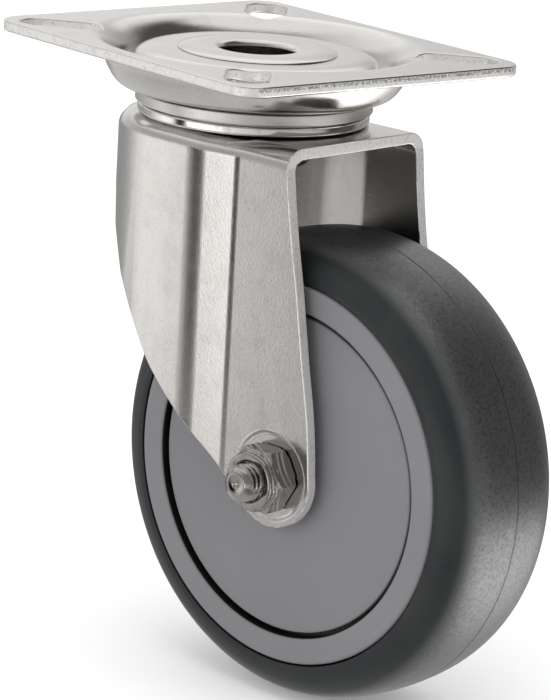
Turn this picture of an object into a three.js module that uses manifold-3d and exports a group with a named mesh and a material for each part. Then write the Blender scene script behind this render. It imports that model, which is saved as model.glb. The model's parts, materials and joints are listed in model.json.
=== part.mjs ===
import * as THREE from 'three';
import { mergeVertices } from 'three/addons/utils/BufferGeometryUtils.js';
import Module from 'manifold-3d';

// Gate wheel: a swivel castor with a slotted top plate. Millimetres, +Z up.
// Origin: swivel axis, level with the plate's upper face. Fork and wheel are drawn
// trailing towards +X and then turned together by REST_TURN about the swivel axis.

const REST_TURN = THREE.MathUtils.degToRad(7.5);
const GAP = 0.3;
const SHEET = 2.4;

// Top plate
const PLATE_X = 86;
const PLATE_Y = 76;
const PLATE_CORNER = 6;
const SLOT_X = 31.4;
const SLOT_Y = 28.4;
const SLOT_LENGTH = 17.6;
const SLOT_WIDTH = 9;
const DISH_RADIUS = 36.4;
const PLATEAU_DROP = 2;
const PLATEAU_RADIUS = 26.4;

// Kingpin: a hollow rivet through plate and fork
const PIN_BORE = 8.2;
const PIN_RADIUS = 10.2;
const PIN_HEAD_RADIUS = 16.7;
const PIN_HEAD_THICK = 1;
const PIN_END = -25.3;
const PIN_FLANGE = 2.2;
const PIN_FLANGE_THICK = 1.8;
const PIN_MOUTH = 2.1;
const PIN_MOUTH_DEPTH = 2.2;

// Swivel ball rings
const UPPER_BALL = 2.75;
const UPPER_PITCH = 20;
const UPPER_BALL_Z = -9;
const UPPER_COUNT = 12;
const LOWER_BALL = 1.6;
const LOWER_PITCH = 13.4;
const LOWER_BALL_Z = -20.5;
const LOWER_COUNT = 10;
const RACE_CLEAR = 0.3;
const UPPER_RACE_BORE = 15.6;
const CUP_RADIUS = 15.6;
const CAGE_SHARE = 0.3;

// Rings between plate and fork
const SEAL_RADIUS = 25.3;
const SEAL_TOP = -11.1;
const SEAL_BOTTOM = -13.5;
const SEAL_WALL = 1.4;
const RACE_RADIUS = 24.7;
const RACE_BORE = 15.4;
const RACE_TOP = -10.7;
const CROWN_TOP = -16.2;

// Fork
const SHELL_HALF = 21.8;
const SHELL_CORNER = 19;
const SHELL_FRONT = -29.5;
const FACET_FRONT = 7;
const LEG_HALF = 20.3;
const LEG_START = 16;
const BLOCK_REACH = 70;
const BLOCK_DEPTH = 120;
const SHOULDER = 4;
// How much wider the fork is at its crown than at the axle, as a fraction
const SPLAY = 0.06;
const CROWN_HOLE = 11.6;
const LEG_END_RADIUS = 10.9;
const BOSS_RADIUS = 9.7;
const BOSS_DEPTH = 0.7;
const LEG_END_FROM = 12;
const LEG_END_TO = -128;
// Rear edge and swept front edge of the fork's side view as [x, z]
const FORK_REAR = [
  [29.8, 0], [29.8, -19.5], [31.2, -29.3], [32.6, -37], [34.2, -44.6], [36.7, -58.9], [39.2, -72],
];
const FORK_FRONT = [
  [14.9, -86.4], [7, -80], [1.6, -75.6], [-3, -71.4], [-6.9, -67], [-12, -58.8],
  [-16.1, -51.8], [-21, -41.5], [-25, -32], [-28.6, -24.6], [-31.2, -21.5], [-34, -20.5],
];

// Wheel and axle
const TRAIL = 29.6;
const AXLE_Z = -85.2;
const WHEEL_RADIUS = 50;
const FACE = 16.4;
const RIM_RADIUS = 40.8;
const RIM_BED = 38.4;
const DISC_RADIUS = 34.2;
const DISC_OUT = 15.4;
const DISC_IN = 13.8;
const DISC_HOLE = 8.4;
const HUB_RADIUS = 18.6;
const HUB_FACE = 13.2;
const WEB_HALF = 2.6;
const RIM_INNER = 33;
const LEDGE = DISC_IN - GAP;
const BOLT_RADIUS = 3.95;
const BOLT_CLEAR = 4.25;
const HEX_ACROSS = 13;
const HEAD_THICK = 5.3;
const NUT_HEIGHT = 7.7;
const NUT_HEX_HEIGHT = 5.2;
const STUD_END = 29.6;
const STUD_TIP = 2.9;
const STUD_CHAMFER = 1.1;
const NUT_COLLAR_RADIUS = 6.3;
const NUT_LIP = 0.7;
const POCKET_RADIUS = 5.7;
const POCKET_SINK = 0.2;
const INSERT_RADIUS = 5.4;
const SLEEVE_RADIUS = 5.9;
const COLLAR_RADIUS = 7.9;
const SPACER_RADIUS = 8;
// Half widths of the rim where the tyre's tongue sits, then the tyre's side as [radius, half width]
const RIM_SEAT_HALF = 12.8;
const RIM_BED_HALF = 11.4;
const TYRE_PROFILE = [[42.8, 16.1], [45.4, 15], [47.6, 12.9], [49, 10.2], [49.75, 6.2]];
const TREAD_HALF = 2.2;

// Ball bearings in the hub: 12 bore, 28 outside, 8 wide
const BEARING_BORE = 6.2;
const BEARING_OUT = 14;
const BEARING_IN_FACE = 5.2;
const BEARING_WIDTH = 8;
const BEARING_PITCH = 10.1;
const BEARING_BALL = 2.3;
const BEARING_COUNT = 6;
const BEARING_INNER_EDGE = 8.2;
const BEARING_OUTER_EDGE = 12.2;
const BALL_CLEAR = 0.15;
const SHIELD_BORE = 8.6;
const SHIELD_RADIUS = 11.9;
const SHIELD_INSET = 0.3;
const SHIELD_THICK = 0.6;

// Segments of a turned piece: the wheel, the swivel head, and small or inner pieces
const WHEEL_ROUND = 48;
const ROUND = 40;
const INNER_ROUND = 24;

const wasm = await Module();
wasm.setup();

// ---------------------------------------------------------------- solids

function signedVolume(geometry) {
  const p = geometry.attributes.position;
  const i = geometry.index.array;
  const a = new THREE.Vector3();
  const b = new THREE.Vector3();
  const c = new THREE.Vector3();
  let total = 0;
  for (let k = 0; k < i.length; k += 3) {
    a.fromBufferAttribute(p, i[k]);
    b.fromBufferAttribute(p, i[k + 1]);
    c.fromBufferAttribute(p, i[k + 2]);
    total += a.dot(b.cross(c));
  }
  return total / 6;
}

// Weld a three.js geometry into a manifold solid with its faces outward.
function solid(geometry) {
  geometry.deleteAttribute('normal');
  geometry.deleteAttribute('uv');
  const welded = mergeVertices(geometry, 1e-4);
  const index = Uint32Array.from(welded.index.array);
  if (signedVolume(welded) < 0) {
    for (let k = 0; k < index.length; k += 3) {
      const swap = index[k + 1];
      index[k + 1] = index[k + 2];
      index[k + 2] = swap;
    }
  }
  const vertProperties = Float32Array.from(welded.attributes.position.array);
  return new wasm.Manifold(new wasm.Mesh({ numProp: 3, vertProperties, triVerts: index }));
}

function toGeometry(body) {
  const mesh = body.getMesh();
  const geometry = new THREE.BufferGeometry();
  geometry.setAttribute('position', new THREE.BufferAttribute(mesh.vertProperties, 3));
  geometry.setIndex(new THREE.BufferAttribute(mesh.triVerts, 1));
  return geometry;
}

function subtract(body, ...tools) {
  return tools.reduce((left, tool) => left.subtract(tool), body);
}

function closed(points) {
  return [...points, points[0]].map(([r, h]) => new THREE.Vector2(r, h));
}

// A ring or plug turned about Z from a closed [radius, z] outline.
function turnedZ(points, segments = ROUND) {
  const geometry = new THREE.LatheGeometry(closed(points), segments);
  geometry.rotateX(Math.PI / 2);
  return solid(geometry);
}

// A ring or plug turned about the axle from a closed [radius, y] outline.
function turnedAxle(points, segments) {
  const geometry = new THREE.LatheGeometry(closed(points), segments);
  geometry.translate(TRAIL, 0, AXLE_Z);
  return solid(geometry);
}

function shapeOf(points) {
  return new THREE.Shape(points.map(([x, y]) => new THREE.Vector2(x, y)));
}

function extruded(shape, depth, options = {}) {
  return new THREE.ExtrudeGeometry(shape, { depth, bevelEnabled: false, ...options });
}

// A plug along Z between two heights.
function plugZ(radius, low, high, x = 0, y = 0) {
  const geometry = new THREE.CylinderGeometry(radius, radius, high - low, ROUND);
  geometry.rotateX(Math.PI / 2);
  geometry.translate(x, y, (low + high) / 2);
  return solid(geometry);
}

// A plug along the axle between two y values.
function plugAxle(radius, low, high) {
  const geometry = new THREE.CylinderGeometry(radius, radius, high - low, INNER_ROUND);
  geometry.translate(TRAIL, (low + high) / 2, AXLE_Z);
  return solid(geometry);
}

// ---------------------------------------------------------------- outlines

function smooth(points, steps) {
  const curve = new THREE.CatmullRomCurve3(points.map(([r, h]) => new THREE.Vector3(r, h, 0)));
  return curve.getPoints(steps).map((p) => [p.x, p.y]);
}

// The two faces of a sheet whose upper face follows the given [radius, z] line.
function sheetOutline(line, thickness) {
  const under = line.map(([r, h], k) => {
    const before = line[Math.max(k - 1, 0)];
    const after = line[Math.min(k + 1, line.length - 1)];
    const along = new THREE.Vector2(after[0] - before[0], after[1] - before[1]).normalize();
    return [r - along.y * thickness, h + along.x * thickness];
  });
  return [...line, ...under.reverse()];
}

function roundedRectangle(width, height, corner) {
  const x = width / 2;
  const y = height / 2;
  const shape = new THREE.Shape();
  shape.moveTo(-x + corner, -y);
  shape.lineTo(x - corner, -y);
  shape.absarc(x - corner, -y + corner, corner, -Math.PI / 2, 0);
  shape.lineTo(x, y - corner);
  shape.absarc(x - corner, y - corner, corner, 0, Math.PI / 2);
  shape.lineTo(-x + corner, y);
  shape.absarc(-x + corner, y - corner, corner, Math.PI / 2, Math.PI);
  shape.lineTo(-x, -y + corner);
  shape.absarc(-x + corner, -y + corner, corner, Math.PI, 1.5 * Math.PI);
  return shape;
}

function slotShape() {
  const reach = (SLOT_LENGTH - SLOT_WIDTH) / 2;
  const radius = SLOT_WIDTH / 2;
  const shape = new THREE.Shape();
  shape.moveTo(-reach, -radius);
  shape.lineTo(reach, -radius);
  shape.absarc(reach, 0, radius, -Math.PI / 2, Math.PI / 2);
  shape.lineTo(-reach, radius);
  shape.absarc(-reach, 0, radius, Math.PI / 2, 1.5 * Math.PI);
  return shape;
}

// Points on an arc in a [radius, height] outline, angles in degrees.
function arc(r, h, radius, from, to, steps) {
  return Array.from({ length: steps + 1 }, (_, k) => {
    const angle = THREE.MathUtils.degToRad(from + ((to - from) * k) / steps);
    return [r + radius * Math.cos(angle), h + radius * Math.sin(angle)];
  });
}

// ---------------------------------------------------------------- top plate body

function slotTool(x, y) {
  const geometry = extruded(slotShape(), 4 * SHEET, { curveSegments: 8 });
  geometry.rotateZ(Math.atan2(y, x));
  geometry.translate(x, y, -3 * SHEET);
  return solid(geometry);
}

// Upper face of the pressed dish, from the flat rim in to the raised centre.
function dishLine() {
  const outer = DISH_RADIUS;
  const inner = PLATEAU_RADIUS;
  return smooth([
    [outer, 0], [outer - 1.4, -0.1], [outer - 3, -0.6], [outer - 4.7, -1.8], [outer - 6.1, -3.6],
    [outer - 6.9, -5.4], [outer - 7.8, -6.9], [outer - 8.6, -7.7], [inner + 1, -8],
    [inner + 0.2, -7.3], [inner, -6.2], [inner - 0.1, -4.5], [inner - 0.3, -3],
    [inner - 1.1, -PLATEAU_DROP - 0.1], [inner - 2.4, -PLATEAU_DROP], [inner - 5, -PLATEAU_DROP],
  ], 14);
}

function makeTopPlate() {
  const rim = solid(extruded(roundedRectangle(PLATE_X, PLATE_Y, PLATE_CORNER), SHEET, {
    curveSegments: 8,
  }).translate(0, 0, -SHEET));
  const opened = rim.subtract(plugZ(DISH_RADIUS - 0.2, -2 * SHEET, SHEET));
  const line = [...dishLine(), [PIN_RADIUS + GAP, -PLATEAU_DROP]];
  const start = [DISH_RADIUS + 0.2, 0];
  const dish = turnedZ(sheetOutline([start, ...line], SHEET));
  const slots = [[1, 1], [1, -1], [-1, 1], [-1, -1]];
  const tools = slots.map(([sx, sy]) => slotTool(sx * SLOT_X, sy * SLOT_Y));
  return subtract(opened.add(dish), ...tools);
}

function makeKingpin() {
  const headUnder = -PLATEAU_DROP + GAP;
  const top = headUnder + PIN_HEAD_THICK;
  return turnedZ([
    [PIN_BORE, top - PIN_MOUTH_DEPTH], [PIN_BORE + 0.3, top - 1.2], [PIN_BORE + 1, top - 0.45],
    [PIN_BORE + PIN_MOUTH, top], [PIN_HEAD_RADIUS - 0.5, top], [PIN_HEAD_RADIUS, top - 0.4],
    [PIN_HEAD_RADIUS, headUnder], [PIN_RADIUS, headUnder], [PIN_RADIUS, PIN_END + PIN_FLANGE_THICK],
    [PIN_RADIUS + PIN_FLANGE - 0.2, PIN_END + PIN_FLANGE_THICK - 0.2],
    [PIN_RADIUS + PIN_FLANGE, PIN_END + 0.6], [PIN_RADIUS + PIN_FLANGE - 1, PIN_END],
    [PIN_BORE + 0.4, PIN_END], [PIN_BORE, PIN_END + 0.5],
  ]);
}

function makeUpperRace() {
  const top = -PLATEAU_DROP - SHEET - GAP;
  const low = UPPER_BALL_Z + 0.6;
  const groove = arc(UPPER_PITCH, UPPER_BALL_Z, UPPER_BALL + RACE_CLEAR, 15, 165, 5);
  const outer = PLATEAU_RADIUS - SHEET - 3 * GAP;
  return turnedZ([[UPPER_RACE_BORE, top], [UPPER_RACE_BORE, low], ...groove.reverse(), [outer, low],
    [outer, top]], INNER_ROUND);
}

function makeLowerCup() {
  const groove = arc(LOWER_PITCH, LOWER_BALL_Z, LOWER_BALL + RACE_CLEAR, -165, -15, 5);
  const low = PIN_END + PIN_FLANGE_THICK + GAP;
  const high = LOWER_BALL_Z - 0.4;
  const inner = PIN_RADIUS + GAP;
  return turnedZ([[inner, low], [inner, high], ...groove, [CUP_RADIUS, high], [CUP_RADIUS, low + 0.6],
    [CUP_RADIUS - 0.6, low]], INNER_ROUND);
}

// Balls held by their cage ring, so that the row is one piece.
function ballRow(radius, pitch, count, place) {
  const half = radius * CAGE_SHARE;
  const cage = new THREE.LatheGeometry(closed([
    [pitch - half, -half], [pitch + half, -half], [pitch + half, half], [pitch - half, half],
  ]), INNER_ROUND);
  let row = solid(cage);
  for (let k = 0; k < count; k += 1) {
    const angle = (2 * Math.PI * k) / count;
    const ball = new THREE.SphereGeometry(radius, 8, 5);
    ball.translate(pitch * Math.cos(angle), 0, pitch * Math.sin(angle));
    row = row.add(solid(ball));
  }
  return place(toGeometry(row));
}

function swivelBalls(radius, pitch, count, height) {
  return ballRow(radius, pitch, count, (geometry) => {
    geometry.rotateX(Math.PI / 2);
    geometry.translate(0, 0, height);
    return solid(geometry);
  });
}

// ---------------------------------------------------------------- fork body

function makeForkRace() {
  const groove = arc(UPPER_PITCH, UPPER_BALL_Z, UPPER_BALL + RACE_CLEAR, -145, -35, 4);
  const under = CROWN_TOP + GAP;
  const skirt = SEAL_BOTTOM - GAP;
  const lip = SEAL_RADIUS - SEAL_WALL - GAP;
  return turnedZ([
    [RACE_BORE, under], [RACE_BORE, RACE_TOP], ...groove, [lip, RACE_TOP], [lip, skirt],
    [RACE_RADIUS - 0.5, skirt], [RACE_RADIUS, skirt - 0.5], [RACE_RADIUS, under + 0.7],
    [RACE_RADIUS - 0.7, under],
  ]);
}

function makeHeadSeal() {
  const inner = SEAL_RADIUS - SEAL_WALL;
  return turnedZ([
    [inner, SEAL_BOTTOM], [inner, SEAL_TOP], [SEAL_RADIUS - 0.3, SEAL_TOP],
    [SEAL_RADIUS, SEAL_TOP - 0.3], [SEAL_RADIUS, SEAL_BOTTOM],
  ]);
}

// Plan of the fork seen from above, drawn in by `inset` for the inside face.
function forkPlan(inset) {
  const corner = SHELL_CORNER - inset;
  const wide = SHELL_HALF - inset;
  const leg = LEG_HALF - inset;
  const front = SHELL_FRONT + inset;
  const centre = wide - corner;
  const shape = new THREE.Shape();
  shape.moveTo(BLOCK_REACH, leg);
  shape.lineTo(LEG_START, leg);
  shape.lineTo(FACET_FRONT, wide);
  shape.lineTo(front + corner, wide);
  shape.absarc(front + corner, centre, corner, Math.PI / 2, Math.PI);
  shape.lineTo(front, -centre);
  shape.absarc(front + corner, -centre, corner, Math.PI, 1.5 * Math.PI);
  shape.lineTo(FACET_FRONT, -wide);
  shape.lineTo(LEG_START, -leg);
  shape.lineTo(BLOCK_REACH, -leg);
  return shape;
}

// A block with the fork's plan whose upper edge is rounded.
function forkBlock(inset, top, rounding) {
  const geometry = extruded(forkPlan(inset + rounding), BLOCK_DEPTH, {
    bevelEnabled: true,
    bevelThickness: rounding,
    bevelSize: rounding,
    bevelSegments: 4,
    curveSegments: 7,
  });
  geometry.translate(0, 0, top - BLOCK_DEPTH - rounding);
  splay(geometry);
  return solid(geometry);
}

// Spread the sides evenly from the axle's height up to the crown.
function splay(geometry) {
  const p = geometry.attributes.position;
  for (let k = 0; k < p.count; k += 1) {
    const rise = (p.getZ(k) - AXLE_Z) / (CROWN_TOP - AXLE_Z);
    p.setY(k, p.getY(k) * (1 + SPLAY * rise));
  }
}

// Side view of the fork as [x, z]: crown, rear edge, round end, swept front edge.
function forkSide() {
  const end = arc(TRAIL, AXLE_Z, LEG_END_RADIUS, LEG_END_FROM, LEG_END_TO, 12);
  const front = smooth(FORK_FRONT, 16);
  const foremost = FORK_FRONT[FORK_FRONT.length - 1][0];
  return shapeOf([...FORK_REAR, ...end, ...front, [foremost, 0]]);
}

function makeFork() {
  const outer = forkBlock(0, CROWN_TOP, SHOULDER);
  const inner = forkBlock(SHEET, CROWN_TOP - SHEET, SHOULDER - SHEET + 0.6);
  const side = extruded(forkSide(), PLATE_X);
  side.rotateX(Math.PI / 2);
  side.translate(0, PLATE_X / 2, 0);
  const shell = outer.subtract(inner).intersect(solid(side));
  const pads = [1, -1].map((s) => bossPad(s));
  const filled = pads.reduce((body, pad) => body.add(pad), shell);
  const recesses = [1, -1].map((s) => {
    const face = LEG_HALF - BOSS_DEPTH;
    return plugAxle(BOSS_RADIUS, s > 0 ? face : -face - 4, s > 0 ? face + 4 : -face);
  });
  const bore = plugAxle(BOLT_CLEAR, -2 * LEG_HALF, 2 * LEG_HALF);
  const hole = plugZ(CROWN_HOLE, CROWN_TOP - 2 * SHEET, CROWN_TOP + SHEET);
  return subtract(filled, ...recesses, bore, hole);
}

function bossPad(s) {
  const low = LEG_HALF - SHEET - BOSS_DEPTH;
  const high = LEG_HALF - SHEET / 2;
  return plugAxle(LEG_END_RADIUS - 0.6, s > 0 ? low : -high, s > 0 ? high : -low);
}

// ---------------------------------------------------------------- axle

function hexagon(across) {
  const corner = across / Math.sqrt(3);
  return shapeOf(Array.from({ length: 6 }, (_, k) => {
    const angle = (k * Math.PI) / 3;
    return [corner * Math.cos(angle), corner * Math.sin(angle)];
  }));
}

// A hexagon block along the axle from y = low to y = high.
function hexBlock(low, high) {
  const geometry = extruded(hexagon(HEX_ACROSS), high - low);
  geometry.rotateX(Math.PI / 2);
  geometry.translate(TRAIL, high, AXLE_Z);
  return solid(geometry);
}

// Turned cap that takes the sharp corners off a hexagon's outer end.
function cornerCap(base, end) {
  const s = Math.sign(end - base);
  const corner = HEX_ACROSS / Math.sqrt(3);
  return turnedAxle([
    [0, base - s], [corner + 0.2, base - s], [corner + 0.2, end - s * 1.1], [corner - 1, end], [0, end],
  ], INNER_ROUND);
}

function makeBolt() {
  const under = LEG_HALF - BOSS_DEPTH + GAP;
  const head = hexBlock(under, under + HEAD_THICK).intersect(cornerCap(under, under + HEAD_THICK));
  const shank = turnedAxle([
    [0, -STUD_END], [STUD_TIP, -STUD_END], [BOLT_RADIUS, -STUD_END + STUD_CHAMFER],
    [BOLT_RADIUS, under + 1], [0, under + 1],
  ], INNER_ROUND);
  return head.add(shank);
}

function makeNut() {
  const base = -(LEG_HALF - BOSS_DEPTH + GAP);
  const hexEnd = base - NUT_HEX_HEIGHT;
  const end = base - NUT_HEIGHT;
  const hex = hexBlock(hexEnd, base).intersect(cornerCap(base, hexEnd));
  const collar = turnedAxle([
    [0, hexEnd + 1], [NUT_COLLAR_RADIUS, hexEnd + 1], [NUT_COLLAR_RADIUS, end + 0.9],
    [NUT_COLLAR_RADIUS - 0.6, end + 0.2], [NUT_COLLAR_RADIUS - 1.3, end], [0, end],
  ], INNER_ROUND);
  const bore = plugAxle(BOLT_CLEAR, end - 5, base + 5);
  const pocket = plugAxle(POCKET_RADIUS, end + NUT_LIP, hexEnd + POCKET_SINK);
  return subtract(hex.add(collar), bore, pocket);
}

function makeInsert() {
  const base = -(LEG_HALF - BOSS_DEPTH + GAP);
  const low = base - NUT_HEIGHT + NUT_LIP + GAP;
  const high = base - NUT_HEX_HEIGHT + POCKET_SINK - GAP;
  return tube(BOLT_CLEAR, INSERT_RADIUS, low, high);
}

function tube(inner, outer, low, high) {
  return turnedAxle([[inner, low], [outer, low], [outer, high], [inner, high]], INNER_ROUND);
}

function makeSleeve() {
  const reach = LEG_HALF - SHEET - BOSS_DEPTH - GAP;
  return tube(BOLT_CLEAR, SLEEVE_RADIUS, -reach, reach);
}

function makeEndCollar(s) {
  const low = BEARING_IN_FACE + BEARING_WIDTH + GAP;
  const high = LEG_HALF - SHEET - BOSS_DEPTH - GAP;
  const [from, to] = s > 0 ? [low, high] : [-high, -low];
  return tube(BEARING_BORE, COLLAR_RADIUS, from, to);
}

function makeSpacer() {
  const reach = BEARING_IN_FACE - GAP;
  return tube(BEARING_BORE, SPACER_RADIUS, -reach, reach);
}

// ---------------------------------------------------------------- bearings

// Place a bearing outline drawn about its own middle at one side of the hub.
function atBearing(points, s) {
  const middle = BEARING_IN_FACE + BEARING_WIDTH / 2;
  return turnedAxle(points.map(([r, y]) => [r, s * (middle + y)]), INNER_ROUND);
}

function makeBearingInner(s) {
  const half = BEARING_WIDTH / 2;
  const reach = BEARING_BALL + BALL_CLEAR;
  const groove = arc(BEARING_PITCH, 0, reach, 135, 225, 4);
  return atBearing([[BEARING_BORE, -half], [BEARING_BORE, half], [BEARING_INNER_EDGE, half], ...groove,
    [BEARING_INNER_EDGE, -half]], s);
}

function makeBearingOuter(s) {
  const half = BEARING_WIDTH / 2;
  const reach = BEARING_BALL + BALL_CLEAR;
  const groove = arc(BEARING_PITCH, 0, reach, -45, 45, 4);
  return atBearing([[BEARING_OUT, half], [BEARING_OUT, -half], [BEARING_OUTER_EDGE, -half], ...groove,
    [BEARING_OUTER_EDGE, half]], s);
}

function makeShield(s, outward) {
  const far = BEARING_WIDTH / 2 - SHIELD_INSET;
  const near = far - SHIELD_THICK;
  const points = [[SHIELD_BORE, near], [SHIELD_RADIUS, near], [SHIELD_RADIUS, far], [SHIELD_BORE, far]];
  return atBearing(points.map(([r, y]) => [r, outward * y]), s);
}

function makeBearingBalls(s) {
  const middle = s * (BEARING_IN_FACE + BEARING_WIDTH / 2);
  return ballRow(BEARING_BALL, BEARING_PITCH, BEARING_COUNT, (geometry) => {
    geometry.translate(TRAIL, middle, AXLE_Z);
    return solid(geometry);
  });
}

// ---------------------------------------------------------------- wheel

// Mirror an outline's near half [radius, y] to give the full closed outline.
function bothSides(half) {
  return [...half, ...half.map(([r, y]) => [r, -y]).reverse()];
}

function makeWheelCentre() {
  return turnedAxle(bothSides([
    [BEARING_OUT - 1.4, BEARING_IN_FACE - GAP], [BEARING_OUT + GAP, BEARING_IN_FACE - GAP],
    [BEARING_OUT + GAP, HUB_FACE], [HUB_RADIUS - 1, HUB_FACE], [HUB_RADIUS, WEB_HALF],
    [RIM_INNER, WEB_HALF], [RIM_INNER, LEDGE], [DISC_RADIUS + 0.7, LEDGE],
    [DISC_RADIUS + 0.7, FACE - 1.1], [DISC_RADIUS + 1.6, FACE + 0.1], [RIM_RADIUS - 1, FACE + 0.2],
    [RIM_RADIUS, FACE - 0.2], [RIM_RADIUS, RIM_SEAT_HALF], [RIM_BED, RIM_BED_HALF],
  ]), WHEEL_ROUND);
}

function makeTyre() {
  return turnedAxle(bothSides([
    [RIM_BED + GAP, RIM_BED_HALF - 0.2], [RIM_RADIUS + GAP, RIM_SEAT_HALF - 0.2],
    [RIM_RADIUS + GAP, FACE - 0.1], ...TYRE_PROFILE, [WHEEL_RADIUS, TREAD_HALF],
  ]), WHEEL_ROUND);
}

function makeCover(s) {
  return turnedAxle([
    [DISC_HOLE, s * DISC_IN], [DISC_HOLE, s * DISC_OUT], [DISC_RADIUS - 0.4, s * DISC_OUT],
    [DISC_RADIUS, s * (DISC_OUT - 0.4)], [DISC_RADIUS, s * DISC_IN],
  ], WHEEL_ROUND);
}

// ---------------------------------------------------------------- assembly

const STEEL = { color: 0xc3beb9, roughness: 0.32, metalness: 1 };
const BRIGHT = { color: 0xd2cfcb, roughness: 0.2, metalness: 1 };
const DARK = { color: 0x9a9895, roughness: 0.3, metalness: 1 };
const GREY = { color: 0x77787b, roughness: 0.55, metalness: 0 };
const RUBBER = { color: 0x2f3438, roughness: 0.7, metalness: 0 };
const NYLON = { color: 0xdcdcd6, roughness: 0.5, metalness: 0 };

const assembly = new THREE.Group();
assembly.name = 'gate_wheel';

function addPiece(name, body, finish, turns) {
  const geometry = toGeometry(body);
  if (turns) geometry.rotateZ(REST_TURN);
  const mesh = new THREE.Mesh(geometry, new THREE.MeshStandardMaterial(finish));
  mesh.name = name;
  assembly.add(mesh);
}

addPiece('top_plate', makeTopPlate(), STEEL, false);
addPiece('kingpin', makeKingpin(), STEEL, false);
addPiece('upper_race', makeUpperRace(), DARK, false);
addPiece('lower_cup', makeLowerCup(), STEEL, false);
addPiece('lower_balls', swivelBalls(LOWER_BALL, LOWER_PITCH, LOWER_COUNT, LOWER_BALL_Z), BRIGHT, false);

addPiece('upper_balls', swivelBalls(UPPER_BALL, UPPER_PITCH, UPPER_COUNT, UPPER_BALL_Z), BRIGHT, true);
addPiece('fork_race', makeForkRace(), BRIGHT, true);
addPiece('head_seal', makeHeadSeal(), STEEL, true);
addPiece('fork', makeFork(), STEEL, true);
addPiece('axle_bolt', makeBolt(), BRIGHT, true);
addPiece('lock_nut', makeNut(), BRIGHT, true);
addPiece('lock_nut_insert', makeInsert(), NYLON, true);
addPiece('axle_sleeve', makeSleeve(), STEEL, true);
addPiece('bearing_spacer', makeSpacer(), STEEL, true);

for (const [side, s] of [['near', -1], ['far', 1]]) {
  addPiece(`end_collar_${side}`, makeEndCollar(s), STEEL, true);
  addPiece(`bearing_inner_${side}`, makeBearingInner(s), BRIGHT, true);
  addPiece(`bearing_outer_${side}`, makeBearingOuter(s), BRIGHT, true);
  addPiece(`bearing_balls_${side}`, makeBearingBalls(s), BRIGHT, true);
  addPiece(`shield_${side}_out`, makeShield(s, 1), DARK, true);
  addPiece(`shield_${side}_in`, makeShield(s, -1), DARK, true);
  addPiece(`cover_${side}`, makeCover(s), GREY, true);
}

addPiece('wheel_centre', makeWheelCentre(), GREY, true);
addPiece('tyre', makeTyre(), RUBBER, true);

export default assembly;
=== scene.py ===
# %% [markdown]
# # Gate wheel
# A swivel castor that carries a gate: a slotted steel plate, a ball-bearing
# swivel head, a pressed steel fork and a soft-tyred wheel on a bolted axle.
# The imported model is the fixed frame. Each step below makes one finish or
# one piece around it, in metres, in the same place as its CAD node.

# %% Load the frame
import json
import math

import bmesh
import bpy
from mathutils import Matrix, Vector


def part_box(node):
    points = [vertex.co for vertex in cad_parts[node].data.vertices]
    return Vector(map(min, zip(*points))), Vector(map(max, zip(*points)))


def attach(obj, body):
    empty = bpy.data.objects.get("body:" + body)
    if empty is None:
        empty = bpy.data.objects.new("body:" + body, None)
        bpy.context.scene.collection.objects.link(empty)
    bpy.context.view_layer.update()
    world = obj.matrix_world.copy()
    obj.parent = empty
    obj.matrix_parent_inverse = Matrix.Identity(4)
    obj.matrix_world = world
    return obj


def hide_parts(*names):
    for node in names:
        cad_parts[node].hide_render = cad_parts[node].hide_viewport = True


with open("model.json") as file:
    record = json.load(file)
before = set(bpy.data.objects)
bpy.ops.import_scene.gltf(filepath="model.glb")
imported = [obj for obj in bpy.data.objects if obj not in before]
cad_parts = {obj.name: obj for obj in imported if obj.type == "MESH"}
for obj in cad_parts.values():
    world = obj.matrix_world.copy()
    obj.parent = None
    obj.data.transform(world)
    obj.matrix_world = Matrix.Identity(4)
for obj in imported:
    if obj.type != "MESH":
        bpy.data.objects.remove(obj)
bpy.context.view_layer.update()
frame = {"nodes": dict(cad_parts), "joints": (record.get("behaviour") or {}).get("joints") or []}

MM = 0.001

# %% [markdown]
# ## Where things are
# The record holds the two joints. The wheel's own joint gives the axle, and
# the axle's place seen from the swivel gives the angle the fork trails at.

# %% Axle and turn
spin_joint = next(j for j in frame["joints"] if j["name"] == "wheel_spin")
AXLE = Vector(spin_joint["pos_m"])
TURN = math.atan2(AXLE.y, AXLE.x)
TRAIL = math.hypot(AXLE.x, AXLE.y) / MM
AXLE_Z = AXLE.z / MM
FLOOR_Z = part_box("tyre")[0].z
FORK_TURN = Matrix.Rotation(TURN, 4, "Z")
# Turned parts are drawn standing up (radius, height) and then laid on the axle.
LAID_DOWN = Matrix.Rotation(math.pi / 2, 4, "X")
ON_AXLE = FORK_TURN @ Matrix.Translation((TRAIL * MM, 0, AXLE_Z * MM)) @ LAID_DOWN
print(f"trail {TRAIL:.1f} mm, axle {AXLE_Z:.1f} mm, turned {math.degrees(TURN):.1f} degrees")

# %% [markdown]
# ## Shader sums
# A finish is mostly arithmetic on patterns. Wrapping a socket in a small class
# lets that arithmetic be written as ordinary expressions.


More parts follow.
